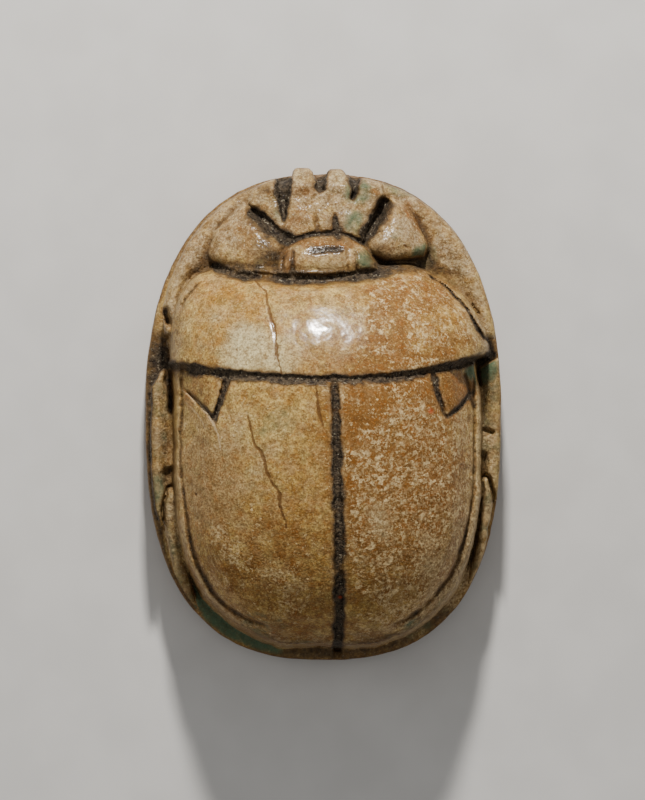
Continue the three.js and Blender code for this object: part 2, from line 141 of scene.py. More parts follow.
# ---- Maps over the plan ----
FINE = 0.02  # the maps' spacing
COARSE = 3  # how many of those the skin's cells span
CELL = COARSE * FINE
MARGIN = 0.24  # how far the maps reach past the stone
rng = np.random.default_rng(7)


def spaced(low, high):
    """The maps' places along one side of the stone."""
    count = int(math.ceil((high - low + 2 * MARGIN) / CELL)) * COARSE + 1
    return low - MARGIN + FINE * np.arange(count)


xs = spaced(LOW[0], HIGH[0])
ys = spaced(LOW[1], HIGH[1])
X, Y = np.meshgrid(xs, ys)


def smooth(low, high, value):
    """A soft step from 0 at low to 1 at high."""
    t = np.clip((value - low) / (high - low), 0, 1)
    return t * t * (3 - 2 * t)


def taper(t, power, root):
    """How wide a rounded end still is at a share t of its reach."""
    return np.maximum(0, 1 - np.maximum(0, t) ** power) ** (1 / root)


def lower(a, b, radius=0.0):
    """The smaller of two fields, blended over a radius."""
    if radius <= 0:
        return np.minimum(a, b)
    h = np.maximum(0, radius - np.abs(a - b)) / radius
    return np.minimum(a, b) - h * h * radius / 4


def higher(a, b, radius=0.0):
    """The larger of two fields, blended over a radius."""
    return -lower(-a, -b, radius)


def blurred(field, sigma):
    """The map smoothed by a bell curve of that width in millimetres."""
    reach = max(1, int(round(3 * sigma / FINE)))
    kernel = np.exp(-0.5 * (np.arange(-reach, reach + 1) * FINE / sigma) ** 2)
    kernel /= kernel.sum()
    for direction in (0, 1):
        padded = np.pad(field, [(reach, reach) if direction == d else (0, 0) for d in (0, 1)], mode="edge")
        count = field.shape[direction]
        field = sum(k * np.take(padded, range(i, i + count), axis=direction) for i, k in enumerate(kernel))
    return field


def noise(cell):
    """Smooth random values from -1 to 1 over the plan, with features about a cell wide."""
    u = (X - xs[0]) / cell + 2
    v = (Y - ys[0]) / cell + 2
    lattice = rng.uniform(-1, 1, (int(v.max()) + 4, int(u.max()) + 4))
    i, j = np.floor(u).astype(int), np.floor(v).astype(int)
    fu, fv = smooth(0, 1, u - i), smooth(0, 1, v - j)
    top = lattice[j, i] * (1 - fu) + lattice[j, i + 1] * fu
    bottom = lattice[j + 1, i] * (1 - fu) + lattice[j + 1, i + 1] * fu
    return top * (1 - fv) + bottom * fv


def layered(cell, octaves=4, fade=0.55):
    """Noise with ever finer and fainter noise on top."""
    total, weight = 0, 1
    for octave in range(octaves):
        total = total + weight * noise(cell / 2 ** octave)
        weight *= fade
    return total


def curved(path, per_span=8):
    """More points along a path, on a smooth curve through those given."""
    p = np.array([path[0], *path, path[-1]], float)
    out = []
    for a, b, c, d in zip(p, p[1:], p[2:], p[3:]):
        square, cube = 2 * a - 5 * b + 4 * c - d, 3 * b - a - 3 * c + d
        for t in np.arange(per_span) / per_span:
            out.append(0.5 * (2 * b + (c - a) * t + square * t**2 + cube * t**3))
    return np.array([*out, p[-1]])


def along_path(path, x, y):
    """How far each place is from a path, and how far along the path (0 to 1) the nearest point is."""
    path = np.asarray(path, float)
    spans = np.hypot(*np.diff(path, axis=0).T)
    starts = np.concatenate([[0], np.cumsum(spans)])
    best = np.full(x.shape, np.inf)
    share = np.zeros(x.shape)
    for (ax, ay), (bx, by), span, start in zip(path, path[1:], spans, starts):
        if span == 0:
            continue
        dx, dy = (bx - ax) / span, (by - ay) / span
        t = np.clip((x - ax) * dx + (y - ay) * dy, 0, span)
        gap = np.hypot(x - ax - t * dx, y - ay - t * dy)
        nearer = gap < best
        best = np.where(nearer, gap, best)
        share = np.where(nearer, (start + t) / starts[-1], share)
    return best, share


def soil_and_shade(view, dirt_and_shade):
    """Darkens a part of the map of dirt and painted shade."""
    DIRT_AND_SHADE[view] = np.maximum(DIRT_AND_SHADE[view], dirt_and_shade)


def window(path, margin):
    """The part of the maps that a path and a margin round it cover."""
    path = np.asarray(path, float)
    low, high = path.min(axis=0) - margin, path.max(axis=0) + margin
    i = slice(max(0, np.searchsorted(xs, low[0])), np.searchsorted(xs, high[0]))
    j = slice(max(0, np.searchsorted(ys, low[1])), np.searchsorted(ys, high[1]))
    return j, i


def near(path, view):
    """As along_path, for the swayed places in a part of the maps."""
    return along_path(path, WX[view], WY[view])


def inside(outline, x, y):
    """The distance into a closed outline, negative outside it."""
    loop = [*outline, outline[0]]
    gap, _ = along_path(loop, x, y)
    crossed = np.zeros(x.shape, bool)
    for (ax, ay), (bx, by) in zip(loop, loop[1:]):
        if ay != by:
            crossed ^= ((ay > y) != (by > y)) & (x < (bx - ax) * (y - ay) / (by - ay) + ax)
    return np.where(crossed, gap, -gap)


# A hand never cuts quite straight: lines and outlines are read at places pushed about a little.
SWAY_X = 0.035 * noise(0.9) + 0.024 * noise(0.3)
SWAY_Y = 0.035 * noise(0.9) + 0.024 * noise(0.3)
WX, WY = X + SWAY_X, Y + SWAY_Y

# Dirt in the lines, pits and gaps, and painted shade in the slot beside the left wing case.
DIRT_AND_SHADE = np.zeros(X.shape)
CRACK = np.zeros(X.shape)
WOBBLE = 0.2 * noise(0.5) + 0.24 * noise(0.15)  # how far a line's width and depth stray
JAG_X, JAG_Y = 0.03 * noise(0.16), 0.03 * noise(0.16)

# ---- The base's outline ----
head_side = WY > 0
power = np.where(head_side, BASE_POWER["head"], BASE_POWER["tail"])
reach = np.where(head_side, BASE_HEAD_REACH, -TAIL_Y)
round_x, round_y = X + 0.4 * SWAY_X, Y + 0.4 * SWAY_Y
oval = (np.abs(2 * round_x / WIDTH) ** power + np.abs(round_y / reach) ** power) ** (1 / power)
slope_y, slope_x = np.gradient(oval, FINE)
OUTSIDE = (oval - 1) / np.maximum(np.hypot(slope_x, slope_y), 0.05)  # distance outside the base's edge
on_right = smooth(-1, 1, X)
LEDGE = np.interp(Y, LEDGE_Y, LEDGE_LEFT) * (1 - on_right) + np.interp(Y, LEDGE_Y, LEDGE_RIGHT) * on_right


# ---- Heights of the carved back ----
def crown(y):
    """How high the back stands along its middle."""
    tail = taper((CROWN["y"] - y) / CROWN["tail_reach"], CROWN["tail_power"], 2)
    head = taper((y - CROWN["y"]) / CROWN["head_reach"], CROWN["head_power"], 2)
    return SKIRT + (HEIGHT - SKIRT) * np.where(y < CROWN["y"], tail, head)


def dome(x, y, half):
    """A rounded back of that half width with steep walls below its skirt, and the distance outside it."""
    across = taper(np.abs(x) / np.maximum(half, 1e-6), CROSS["power"], CROSS["root"])
    top = SKIRT + (crown(y) - SKIRT) * across
    lean = np.gradient(half, FINE, axis=0)
    outside = (np.abs(x) - half) / np.hypot(1, np.clip(lean, -20, 20))
    return np.where(outside > 0, SKIRT - WALL_SLOPE * outside, top), outside


def waist(x):
    """Where the line behind the prothorax runs."""
    across = x - WAIST["middle"]
    return WAIST["y"] + np.where(across < 0, WAIST["left"], WAIST["right"]) * across**2


def head_top(x, y):
    """The head slopes to its teeth, is nearly level on them, steep at their tips, and falls off sideways."""
    slope = (HEAD["bend_top"] - HEAD["rear_top"]) / (HEAD["slope_end"] - HEAD["rear"])
    facet = (HEAD["tip_top"] - HEAD["bend_top"]) / (TIP_Y - HEAD["bend"])
    ridge_top = HEAD["rear_top"] + slope * (HEAD["ridge"] - HEAD["rear"])
    back = 4  # the slope runs on under the prothorax
    profile = (
        (HEAD["rear"] - back, HEAD["rear_top"] - back * slope),
        (HEAD["ridge"], ridge_top),
        (HEAD["bend"], ridge_top - HEAD["step"]),
        (TIP_Y, HEAD["tip_top"]),
        (TIP_Y + 1, HEAD["tip_top"] + facet),
    )
    return np.interp(y, *zip(*profile)) - HEAD["fall"] * x * x


def leg_ring():
    """The middle legs beside the wing cases and, towards the head, the forelegs that run on round it."""
    front = smooth(SHOULDER["start"], SHOULDER["full"], Y)
    shoulder = SHOULDER["top"] + (SHOULDER["front_top"] - SHOULDER["top"]) * smooth(4, TIP_Y, Y)
    top = LEG["top"] + (shoulder - LEG["top"]) * front
    hollow = np.where(X < 0, SHOULDER["hollow"]["left"], SHOULDER["hollow"]["right"])
    hollow = hollow * (1 - smooth(4.6, 6.0, Y)) + 0.08
    dip = np.where(X < 0, LEG["dip_left"], LEG["dip_right"])
    dip = dip + (hollow - dip) * front
    into = np.maximum(0, -OUTSIDE - LEDGE)
    rounding = LEG["round"] * (1 + front)
    corner = np.maximum(0, rounding - into)
    turned = rounding - np.sqrt(np.maximum(0, rounding**2 - corner**2))
    return top - turned - dip * smooth(0.2, 0.8, into)


def sunk(height, path, radius, floor, slope, dark):
    """A hollow along a path, with a soft dark stain: dirt, and in the slot beside the left wing case painted
    shade.
    """
    view = window(path, radius + 0.5)
    away, _ = near(curved(path), view)
    radius = radius * (1 + 1.6 * WOBBLE[view])
    height[view] = lower(height[view], floor + slope * np.maximum(0, away - radius), 0.12)
    soil_and_shade(view, dark * (1 - smooth(radius - 0.05, radius + 0.16, away)))


def cut_leg_gaps(height):
    """The open gaps between the middle legs and the forelegs."""
    for gap in (LEG_GAP_LEFT, LEG_GAP_RIGHT):
        view = window(gap, 0.5)
        away = np.maximum(0, -inside(gap, WX[view], WY[view]))
        height[view] = np.minimum(height[view], FLOOR + WALL_SLOPE * away)
        soil_and_shade(view, 0.55 * (1 - smooth(0, 0.08, away)))


def with_knob(height):
    """A small round lump left beside the gap on the left."""
    knob = np.hypot((WX - KNOB["x"]) / KNOB["wide"], (WY - KNOB["y"]) / KNOB["long"])
    return np.maximum(height, KNOB["top"] - 0.5 * np.minimum(knob, 2) ** 2)


def with_hind_leg(height, leg, middle_leg_end):
    axis_x, axis_y = np.array(leg["axis"]).T
    own_side = np.sign(axis_x[0]) * WX > 0
    # The middle leg stops, and leaves a floor between the hind leg and the body.
    beyond = smooth(0, 0.25, middle_leg_end - WY)
    height = np.where(own_side, height + (LEDGE_TOP - height) * beyond, height)
    mid = np.abs(np.interp(WY, axis_y[::-1], axis_x[::-1]))
    behind = own_side & (WY < axis_y[0]) & (np.abs(WX) < mid)
    height = np.where(behind, np.minimum(height, np.where(WY < axis_y[-1], LEDGE_TOP, FLOOR)), height)
    # The leg is a slim ridge that thins to both ends, with a slot round it.
    view = window(leg["axis"], 0.8)
    away, share = near(curved(leg["axis"]), view)
    half = leg["width"] * np.sqrt(np.clip(1 - np.abs(2 * share - 0.9) ** 3, 0.02, 1))
    into = half - away
    gap = np.maximum(0, -into - HIND_LEG["gap"])
    height[view] = np.minimum(height[view], np.maximum(FLOOR + WALL_SLOPE * gap, LEDGE_TOP))
    soil_and_shade(view, 0.7 * (1 - smooth(0, 0.05, -into - 0.02)) * (into < 0))
    top = HIND_LEG["top"] + (HIND_LEG["end_top"] - HIND_LEG["top"]) * share
    turn = np.clip(away / np.maximum(half, 0.01), 0, 1)
    ridge = top - 0.3 * (1 - np.sqrt(1 - turn**2)) + np.minimum(0, WALL_SLOPE * into)
    height[view] = np.maximum(height[view], ridge)
    return height


def carve_legs(height):
    cut_leg_gaps(height)
    height = with_knob(height)
    for leg, end in zip(HIND_LEGS, MIDDLE_LEG_ENDS):
        height = with_hind_leg(height, leg, end)
    return height


def mound(height, outline, lift, rounding, stain):
    """A cushion over an outline, as high as the head there plus a lift, its edges turned over."""
    view = window(outline, 0.6)
    into = inside(curved([*outline, outline[0]], 4), WX[view], WY[view])
    turn = np.clip(1 - into / rounding, 0, 1)
    top = head_top(X[view], Y[view]) + lift - MOUND["edge"] * (1 - np.sqrt(np.maximum(0, 1 - turn**2)))
    top = np.where(into > 0, top, top + MOUND["wall"] * into)
    crease = MOUND["crease"] * np.exp(-np.maximum(0, -into) / MOUND["crease_width"]) * (into <= 0)
    height[view] = higher(height[view] - crease, top, MOUND["blend"])
    soil_and_shade(view, stain * (1 - smooth(0.02, 0.2, np.abs(into + 0.04))))


def rimmed(top, outside):
    """The wing cases' flat margin, below the rim line, and a steeper rise inside it."""
    into = np.maximum(0, -outside)
    flat = WING_RIM["slope"] * np.minimum(into, WING_RIM["width"])
    rim = WING_RIM["top"] + flat + WING_RIM["rise"] * np.maximum(0, into - WING_RIM["width"])
    return lower(np.where(outside < 0, np.maximum(top, WING_RIM["top"]), top), rim, 0.15)


def wing_half(y):
    """How wide half of the wing cases is, along them."""
    return WING["half"] * taper((WING["bend"] - y) / WING["reach"], WING["power"], WING["root"])


def wing_cases():
    side = np.where(X < 0, -1, 1)
    corner = 0.22 * smooth(0.5, 1.8, WY) * (X > 0)  # the right front corner stands in a little
    wings, outside = dome(WX, WY, wing_half(WY) + side * WING["centre"] - corner)
    outside = np.maximum(outside, WING["tail"] - WY)
    return np.minimum(rimmed(wings, outside), WING_RIM["top"] - WALL_SLOPE * outside)


def prothorax():
    left, right = (
        side["half"] * taper((WY - side["bend"]) / side["reach"], side["power"], side["power"])
        for side in (THORAX_LEFT, THORAX_RIGHT)
    )
    return dome(WX, WY, np.where(X < 0, left, right))[0]


def add_head(height):
    """The clypeus with its teeth, the two cheeks and the plate, in front of the neck line."""
    view = window(CLYPEUS, 0.6)
    into = inside(CLYPEUS, WX[view], WY[view])
    top = head_top(X[view], Y[view]) + np.minimum(0, WALL_SLOPE * into)
    for path in OUTER_TEETH:
        away, _ = near(path, view)
        top -= BEVEL["slope"] * np.maximum(0, BEVEL["width"] - away)
    height[view] = np.maximum(height[view], top)
    mound(height, CHEEK_LEFT, lift=0.38, rounding=1.1, stain=0.12)
    mound(height, CHEEK_RIGHT, lift=0.34, rounding=1.0, stain=0.12)
    mound(height, PLATE, lift=0.5, rounding=0.55, stain=0.45)


def heights():
    """The whole back, before lines are cut into it."""
    height = carve_legs(leg_ring())
    for pit in PITS:
        sunk(height, *pit)
    body = np.where(WY < waist(X), wing_cases(), prothorax())
    DIRT_AND_SHADE[...] *= 1 - smooth(-0.3, 0.3, body - height)
    height = np.maximum(height, body)
    add_head(height)
    return height


# ---- Lines, cracks and wear ----
def rim_path(side):
    """Just inside the edge of one wing case, from the waist round to the tail."""
    t = np.linspace(0, 1, 40)
    start, end = 1.35, WING["tail"] + 0.14
    y = start + (end - start) * np.sin(t * np.pi / 2)
    x = side * wing_half(y) + WING["centre"]
    along = np.stack([np.gradient(x), np.gradient(y)], axis=1)
    along /= np.linalg.norm(along, axis=1, keepdims=True)
    inset = np.interp(y, RIM_Y, RIM_LEFT if side < 0 else RIM_RIGHT)
    return np.stack([x - side * inset * -along[:, 1], y - side * inset * along[:, 0]], axis=1)


WAIST_PATH = [(x, float(waist(np.array(x)))) for x in np.linspace(-6.0, 6.25, 40)]
# path, width, depth, how the width changes along it, how dark its dirt is and how long its ends take to fade
LINES = [
    # The waist, the seam and the rims of the wing cases.
    (WAIST_PATH, 0.31, 0.14, (1.35, 0.85), 1),
    (curved(SEAM), 0.34, 0.2, (0.9, 1.15), 1),
    (rim_path(-1), 0.11, 0.08, (1, 1.6), 0.62, (0.1, 0.8)),
    (rim_path(1), 0.12, 0.1, (0.9, 1.5), 0.6, (0.1, 1.2)),
    # The V notches in the wing cases' front corners.
    ([(-3.66, 1.35), (-3.78, 0.8), (-4.1, -0.2)], 0.24, 0.18, (1.2, 0.7), 0.95, (0, 0.2)),
    ([(-5.22, 1.02), (-4.08, -0.18)], 0.18, 0.12, (0.6, 1.1), 0.75, (0.5, 0)),
    ([(3.8, 1.4), (4.05, 0.6), (4.34, -0.25)], 0.2, 0.13, (1.2, 0.7), 0.9, (0, 0.2)),
    ([(5.24, 0.72), (4.85, 0.3), (4.34, -0.15)], 0.14, 0.1, (1.1, 0.9), 0.85),
    (curved([(5.05, 1.5), (5.2, 0.95), (5.24, 0.65), (5.36, 0.2)]), 0.12, 0.08, (1.2, 0.8), 0.7, (0.1, 0)),
    # Along the prothorax's shoulders.
    (curved([(3.65, 5.15), (4.38, 4.64), (4.74, 4.27), (5.15, 3.76), (5.47, 3.18), (5.75, 2.8), (6.1, 2.62)]),
     0.13, 0.13, (0.9, 1.1), 0.85, (0.3, 0)),
    (curved([(-4.4, 4.95), (-4.85, 4.53), (-5.15, 4.16), (-5.35, 3.6)]),
     0.11, 0.09, (0.6, 1), 0.6, (0.5, 0.4)),
    # The grooves beside the forehead and the brow line.
    (curved([(-2.85, 7.5), (-2.3, 7), (-1.6, 6.5), (-1.2, 6.25)]),
     0.54, 0.16, (0.95, 1), 1.05, (0.25, 0.1)),
    (curved([(2.25, 7.92), (1.92, 7.25), (1.4, 6.3)]), 0.54, 0.13, (1.05, 0.85), 1.05, (0.12, 0.1)),
    (curved([(-1.3, 6.28), (-0.7, 6.5), (0.1, 6.56), (0.8, 6.5), (1.4, 6.22)]),
     0.2, 0.1, (1, 1), 0.85),
    # The gaps between the teeth.
    ([(-1.52, 8.75), (-1.52, 7.9), (-1.52, 6.95)], 0.5, 0.38, (1.05, 0.5), 1.4, (0, 0.45)),
    ([(-0.18, 9.2), (-0.18, 8.5), (-0.2, 8)], 0.54, 0.5, (1.1, 0.6), 1.1, (0, 0.2)),
    ([(1.12, 8.8), (1.1, 8.2), (1.03, 7.7)], 0.42, 0.5, (1.15, 0.3), 1.1, (0, 0.2)),
    # On the forehead, and across the two middle teeth.
    ([(-0.42, 7.5), (-0.25, 6.55)], 0.24, 0.1, (0.6, 1.2), 0.5, (0.5, 0)),
    ([(0.34, 7.4), (0.44, 6.56)], 0.44, 0.12, (0.25, 1.1), 0.9, (0.3, 0)),
    ([(-1.12, 8.02), (-0.52, 8)], 0.36, 0.05, (1, 1), 0.24, (0.2, 0.2)),
    ([(0.12, 8.02), (0.7, 8)], 0.3, 0.04, (1, 1), 0.2, (0.2, 0.2)),
    # The head plate's upright lines and its slot.
    ([(-1.2, 6.05), (-1.2, 5.15)], 0.2, 0.1, (0.7, 1.1), 0.75, (0.3, 0)),
    ([(-1.52, 5.75), (-1.6, 5.2)], 0.12, 0.1, (0.8, 1.1), 0.5, (0.2, 0)),
    ([(-0.75, 5.9), (0.1, 5.97), (0.85, 5.95)], 0.27, 0.03, (1.2, 0.8), 0.78, (0.3, 0.3)),
    ([(0.78, 6.1), (0.8, 5.2)], 0.1, 0.07, (1, 1), 0.35, (0.3, 0)),
    ([(1.08, 6.05), (1.12, 5.2)], 0.12, 0.1, (1, 1), 0.5, (0.3, 0)),
    # Behind and beside the cheeks.
    (curved([(-4.3, 5.48), (-3.75, 5.24), (-3.1, 5.02), (-2.2, 4.95)]),
     0.42, 0.13, (0.9, 0.8), 0.9, (0.4, 0.9)),
    (curved([(3.1, 5.62), (3.72, 5.56)]), 0.36, 0.06, (0.7, 1), 0.6, (0.3, 0.2)),
    (curved([(3.72, 6.2), (3.75, 5.85), (3.7, 5.55)]), 0.24, 0.1, (0.7, 1.1), 0.5, (0.4, 0.1)),
]
# path, width, depth, darkness (below 0 in a pale scratch)
CRACKS = [
    ([(-2.55, 4.85), (-2.45, 4.63), (-2.22, 4.45), (-2.2, 4.2), (-2.12, 3.7), (-2, 3.25), (-1.93, 2.88),
      (-1.86, 2.5), (-1.86, 2.15), (-1.78, 1.86), (-1.68, 1.5)], 0.11, 0.045, 0.85),
    ([(-2.92, -0.1), (-2.78, -0.8), (-2.72, -1.1), (-2.45, -1.35), (-2.32, -1.7), (-2.18, -2.15),
      (-2, -2.6), (-1.8, -2.9), (-1.8, -3.3), (-1.62, -3.7), (-1.5, -4.1)], 0.11, 0.04, 0.95),
    ([(-0.52, 1.05), (-0.47, 0.5), (-0.37, 0.07), (-0.2, -0.45)], 0.13, 0.05, 0.9),
    ([(-4.23, 3.05), (-4.15, 2.75), (-4.08, 2.4), (-3.95, 2.15), (-3.7, 1.9)], 0.05, 0.012, 0.4),
    ([(-0.75, 2.6), (-0.6, 2.35), (-0.58, 2.05)], 0.07, 0.012, 0.5),
    ([(-1.2, 3.05), (-1.15, 2.55)], 0.05, 0.01, 0.35),
    ([(-3.35, 2.4), (-3.28, 2.3)], 0.07, 0.02, 0.6),
    ([(-4.76, -2.9), (-4.74, -2.94)], 0.12, 0.06, 1.1),
    ([(-1.25, -0.38), (-1.23, -0.4)], 0.1, 0.04, 0.8),
    ([(-1.72, -0.84), (-1.7, -0.86)], 0.08, 0.03, 0.7),
    ([(2.85, 6.1), (3.05, 6.05)], 0.12, 0.06, 1),
    ([(-5.2, 0.85), (-4.56, 0.3), (-4.12, -0.3), (-3.95, -0.75), (-3.9, -1.3)], 0.09, 0.01, -0.45),
    ([(-5.2, 0.55), (-4.7, -0.05), (-4.45, -0.5)], 0.08, 0.01, -0.35),
    ([(-2.96, 0.05), (-2.86, -0.4)], 0.08, 0.01, -0.35),
]


def steepness(height, limit):
    """How much longer the slope is than its plan: 1 where it is level, up to a limit on the walls."""
    gy, gx = np.gradient(height, FINE)
    return np.minimum(limit, np.hypot(1, np.hypot(gx, gy)))


def cut_neck(height):
    """The deep groove behind the head, with the front of the prothorax rounded down into it."""
    view = window(NECK, 0.8)
    away, _ = near(curved(NECK), view)
    floor = head_top(0, WY[view]) + NECK_CUT["lift"] - NECK_CUT["fall"] * WX[view] ** 2
    wall = floor + NECK_CUT["slope"] * np.maximum(0, away - NECK_CUT["half"])
    height[view] = lower(height[view], wall, NECK_CUT["blend"])
    bare_stretch = np.exp(-(((X[view] + 2.25) / 0.4) ** 2))
    dark = smooth(-4.2, -3.0, X[view]) * (1 - 0.6 * smooth(1.9, 2.6, X[view])) * (1 - 0.45 * bare_stretch)
    soil_and_shade(view, dark * (1 - smooth(0.06, 0.36, away)))


def cut_line(height, surface, steep, path, width, depth, swell, dark, fades=(0, 0)):
    """A round-bottomed line, cut square to the surface, that thins and grows shallow where its ends fade."""
    view = window(path, width + 0.3)
    away, share = near(path, view)
    length = np.hypot(*np.diff(np.asarray(path), axis=0).T).sum()
    strength = np.ones(share.shape)
    for fade, along in zip(fades, (share * length, (1 - share) * length)):
        if fade > 0:
            strength *= smooth(-0.2 * fade, fade, along)
    local = width * (swell[0] + (swell[1] - swell[0]) * share) * (1 + WOBBLE[view]) * (0.35 + 0.65 * strength)
    cut = strength * (1 - smooth(0.24, 0.52, away / local))
    floor = surface[view] - depth * steep[view] * cut * (1 + 0.5 * WOBBLE[view])
    height[view] = np.where(cut > 0, np.minimum(height[view], floor), height[view])
    soil_and_shade(view, dark * np.sqrt(strength) * (1 - smooth(0.1, 1.1, away / local)))


def cut_crack(height, path, width, depth, dark):
    """A fine jagged line, widest half-way along."""
    view = window(path, 0.4)
    away, share = along_path(path, WX[view] + JAG_X[view], WY[view] + JAG_Y[view])
    local = width * (0.6 + 0.5 * np.sin(np.pi * share)) * (1 + 2 * WOBBLE[view])
    cut = 1 - smooth(0.15, 0.6, away / np.maximum(local, 0.01))
    height[view] -= depth * cut
    CRACK[view] = np.where(cut > 0, CRACK[view] + dark * cut, CRACK[view])


def cut_lines(height):
    surface = blurred(height, 0.06)
    steep = steepness(surface, 3.0)
    for line in LINES:
        cut_line(height, surface, steep, *line)
    for crack in CRACKS:
        cut_crack(height, *crack)


H = blurred(heights(), 0.025)
cut_neck(H)
cut_lines(H)
H = blurred(H, 0.016)
H = H - RUBBED * np.maximum(0, H - blurred(H, 0.09))
ROUGH = smooth(4.6, 6.5, Y) + smooth(0, 0.4, -OUTSIDE) * (1 - smooth(0.6, 1.3, -OUTSIDE))  # head and legs
ROUGH = np.clip(ROUGH, 0, 1)
H = H + (0.001 + 0.018 * ROUGH) * layered(0.7, 4) + 0.013 * ROUGH * layered(0.22, 3) + 0.0025 * noise(0.09)
H = H + 0.003 * noise(1.6)
HOLLOW = blurred(H, 0.3) - H  # how far a place lies below what is round it
HOLLOW_WIDE = blurred(HOLLOW + H, 0.35) - H
RAISED = H - blurred(H, 0.1)

# ---- The skin ----
CLEAR = np.full(X.shape, 9.0)  # distance outside the clypeus, whose teeth stand out over the base
view = window(CLYPEUS, 1.0)
CLEAR[view] = -inside(CLYPEUS, WX[view], WY[view])
BORDER_CUT = BORDER["depth"] * (1 - smooth(0.25, 0.5, np.abs(-OUTSIDE - BORDER["inset"]) / BORDER["width"]))
STEEP = steepness(H, 9)
# The base's side, as heights, how far each is set in, and whether the legs' ledge counts there.
SIDE_Z = [0, 1.5, BASE_TOP, LEDGE_TOP, 1.95, 2.35, 20]
SIDE_IN = [0, 0, 0.1, SIDE_GROOVE, SIDE_GROOVE, 0, 0]
SIDE_LEDGE = [0, 0, 0, 1, 1, 1, 1]


def field(z, x, top, steep, outside, ledge, clear, border):
    """Negative inside the stone: about the distance to its surface."""
    below = (z - top) / steep
    beside = outside + np.interp(z, SIDE_Z, SIDE_IN) + np.interp(z, SIDE_Z, SIDE_LEDGE) * ledge
    stone = higher(higher(below, beside, 0.1), border - z, 0.12)
    teeth = higher(higher(below, clear, 0.05), HEAD["floor"] - z, 0.1)
    stone = np.minimum(stone, teeth)
    return higher(stone, CORD_HOLE["radius"] - np.hypot(x, z - CORD_HOLE["z"]), 0.08)


MAPS = [H, STEEP, OUTSIDE, LEDGE, CLEAR, BORDER_CUT]


def sampled(maps, x, y):
    """The maps' values at places between their dots."""
    u = np.clip((x - xs[0]) / FINE, 0, len(xs) - 1.001)
    v = np.clip((y - ys[0]) / FINE, 0, len(ys) - 1.001)
    i, j = u.astype(int), v.astype(int)
    fu, fv = u - i, v - j
    weights = ((1 - fu) * (1 - fv), fu * (1 - fv), (1 - fu) * fv, fu * fv)
    corners = ((j, i), (j, i + 1), (j + 1, i), (j + 1, i + 1))
    return [sum(w * m[c] for w, c in zip(weights, corners)) for m in maps]


def field_at(p):
    return field(p[:, 2], p[:, 0], *sampled(MAPS, p[:, 0], p[:, 1]))


def settled(p, rounds, limit=0.04):
    """The points moved on to the surface, by no more than the limit in each round."""
    nudge = 0.012
    for _ in range(rounds):
        here = field_at(p)
        slope = np.stack([(field_at(p + nudge * e) - here) / nudge for e in np.eye(3)], axis=1)
        size = np.maximum(np.linalg.norm(slope, axis=1), 0.3)
        step = np.clip(here / size, -limit, limit)
        p = p - slope / size[:, None] * step[:, None]
    return p


GRID_LOW = -0.12  # the lowest cells start under the base
GRID_SPARE = 0.4  # how much taller than the stone all the cells are


def skin():
    """Points and quads of the surface: one point in each cell that it crosses."""
    zs = GRID_LOW + CELL * np.arange(int((HEIGHT + GRID_SPARE) / CELL) + 1)
    gx, gy = xs[::COARSE], ys[::COARSE]
    flat = [m[::COARSE, ::COARSE] for m in MAPS]
    f = np.stack([field(z, gx[None, :], *flat) for z in zs]).astype(np.float32)
    nz, ny, nx = f.shape
    strides = (ny * nx, nx, 1)
    flat_f = f.ravel()
    origin, lattice = np.array([gx[0], gy[0], zs[0]]), (nz, ny, nx)
    cells, crossings, quads = [], [], []
    for axis_i in range(3):
        near = f.take(range(lattice[axis_i] - 1), axis_i)
        far = f.take(range(1, lattice[axis_i]), axis_i)
        cut = np.flatnonzero(np.signbit(near) != np.signbit(far))
        shape = list(lattice)
        shape[axis_i] -= 1
        at = np.stack(np.unravel_index(cut, shape))
        start = sum(a * s for a, s in zip(at, strides))
        f0, f1 = flat_f[start], flat_f[start + strides[axis_i]]
        where = at.astype(float)
        where[axis_i] += f0 / (f0 - f1)
        u, v = [d for d in range(3) if d != axis_i]
        ring = [start - strides[u] - strides[v], start - strides[v], start, start - strides[u]]
        flip = (f0 > f1) ^ (axis_i == 1)
        quad = np.stack(ring, axis=1)
        quads.append(np.where(flip[:, None], quad, quad[:, ::-1]))
        for cell in ring:
            cells.append(cell)
            crossings.append(where)
    cells = np.concatenate(cells)
    crossings = np.concatenate(crossings, axis=1)
    names, index = np.unique(cells, return_inverse=True)
    count = np.bincount(index)
    middle = np.stack([np.bincount(index, weights=c) / count for c in crossings[::-1]], axis=1)
    faces = np.searchsorted(names, np.concatenate(quads))
    return origin + middle * CELL, faces


MOST_TRIANGLES = 190_000


def stone_piece():
    """The skin as an object: settled on the surface, thinned, settled again, painted and scaled to metres."""
    points, faces = skin()
    points = settled(points, 2)
    mesh = bpy.data.meshes.new("scarab_stone")
    mesh.from_pydata(points, [], faces)
    piece = bpy.data.objects.new("scarab_stone", mesh)
    bpy.context.scene.collection.objects.link(piece)
    if 2 * len(faces) > MOST_TRIANGLES:
        thin = piece.modifiers.new("thin", "DECIMATE")
        thin.ratio = MOST_TRIANGLES / (2 * len(faces))
        thinned = bpy.data.meshes.new_from_object(piece.evaluated_get(bpy.context.evaluated_depsgraph_get()))
        piece.modifiers.clear()
        piece.data = thinned
        thinned.name = "scarab_stone"
        bpy.data.meshes.remove(mesh)
    mesh = piece.data
    points = np.empty(3 * len(mesh.vertices), np.float32)
    mesh.vertices.foreach_get("co", points)
    points = settled(points.reshape(-1, 3).astype(float), 1, 0.02)
    paint(mesh, points)
    points = np.clip(points, LOW, HIGH)
    mesh.vertices.foreach_set("co", (points * MM).astype(np.float32).ravel())
    mesh.polygons.foreach_set("use_smooth", np.ones(len(mesh.polygons), bool))
    mesh.update()
    return piece


